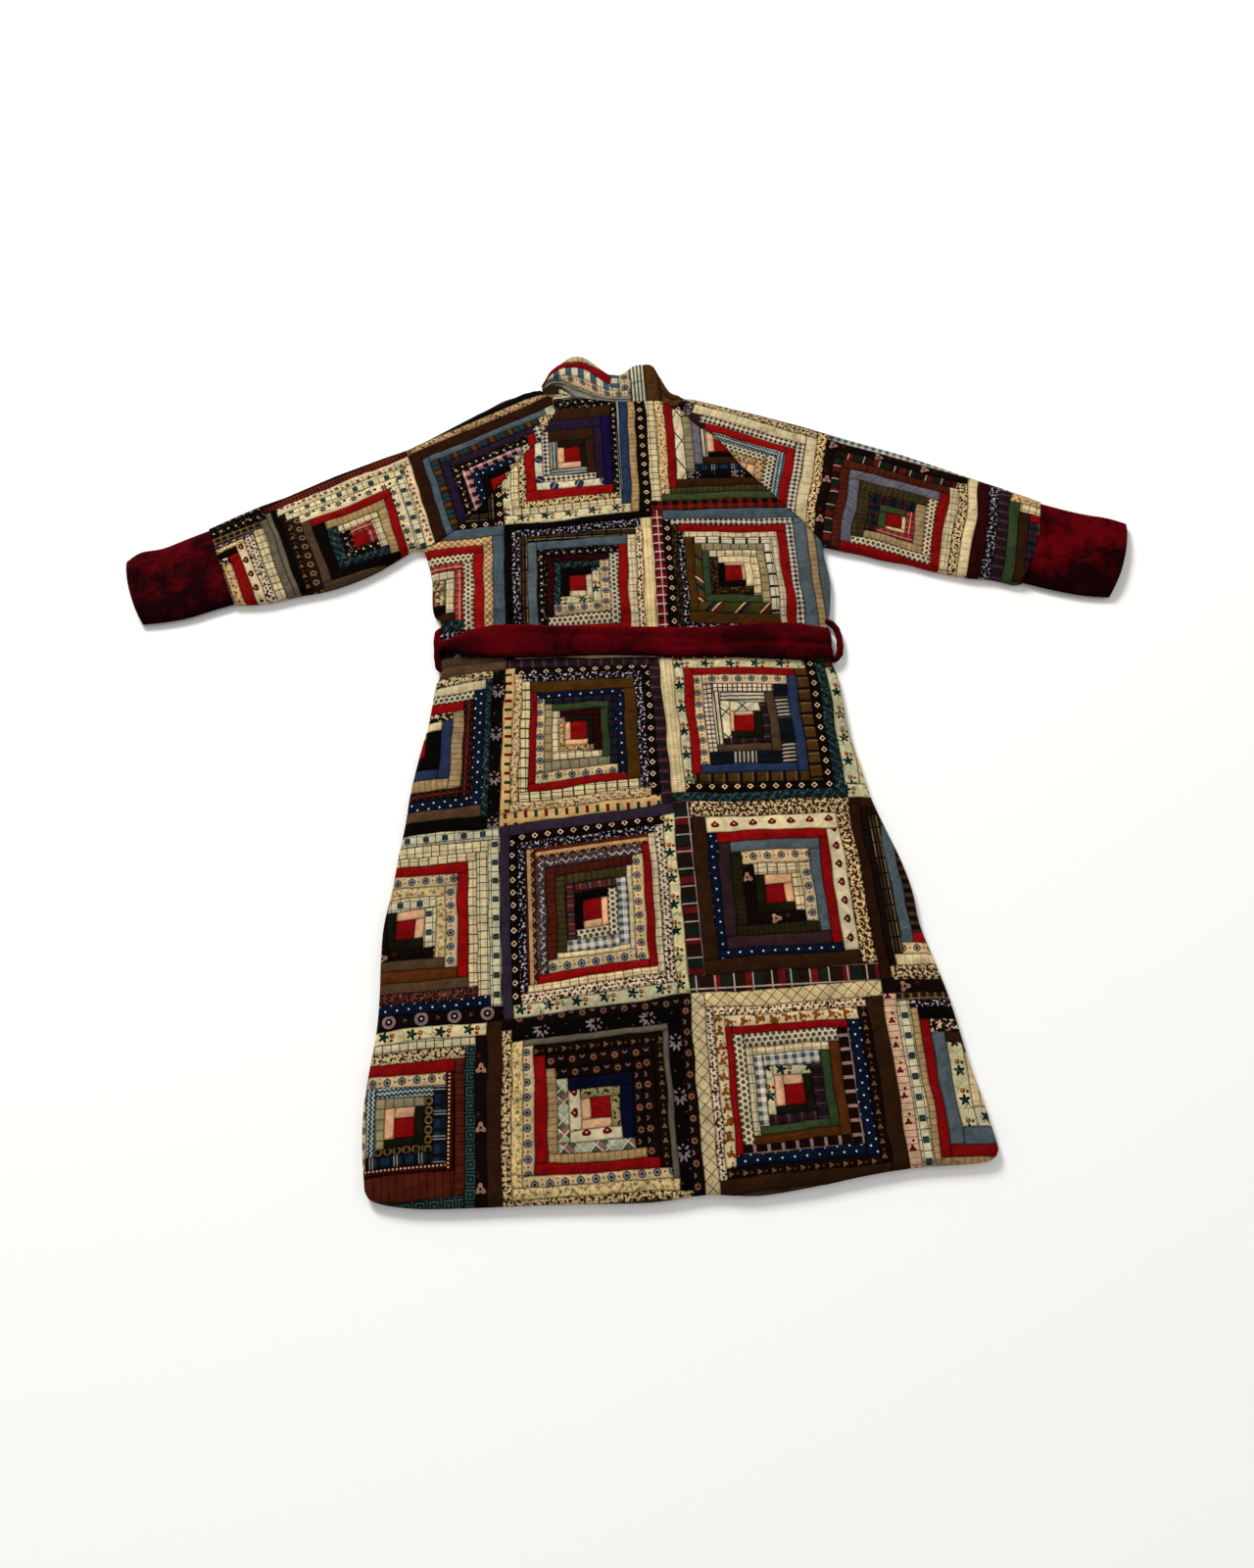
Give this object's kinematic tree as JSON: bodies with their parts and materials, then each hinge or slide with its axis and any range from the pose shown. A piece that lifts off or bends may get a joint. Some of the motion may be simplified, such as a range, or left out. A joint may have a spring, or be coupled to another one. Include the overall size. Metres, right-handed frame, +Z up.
{
  "type": "quilted coat",
  "caption": "Knee-length raglan patchwork coat with velvet cuffs and belt, laid out flat with its back up.",
  "frame": {"origin": "on the resting plane, under the middle of the bounding box", "axes": "+X to the right as the back is seen with the collar away, +Y from hem to collar, +Z up from the surface the coat lies on to its back"},
  "size_m": [1.29, 1.115, 0.0202],
  "materials": {
    "patchwork": "matte padded cotton patchwork",
    "velvet": "crushed cotton velvet",
    "lining": "matte cotton"
  },
  "bodies": {
    "root": {"back_panel": "patchwork", "front_left": "lining", "front_right": "lining", "sleeve_left": "patchwork", "sleeve_right": "patchwork", "cuff_left": "velvet", "cuff_right": "velvet", "collar": "patchwork", "belt": "velvet", "belt_loop_left": "velvet", "belt_loop_right": "velvet"}
  },
  "joints": []
}
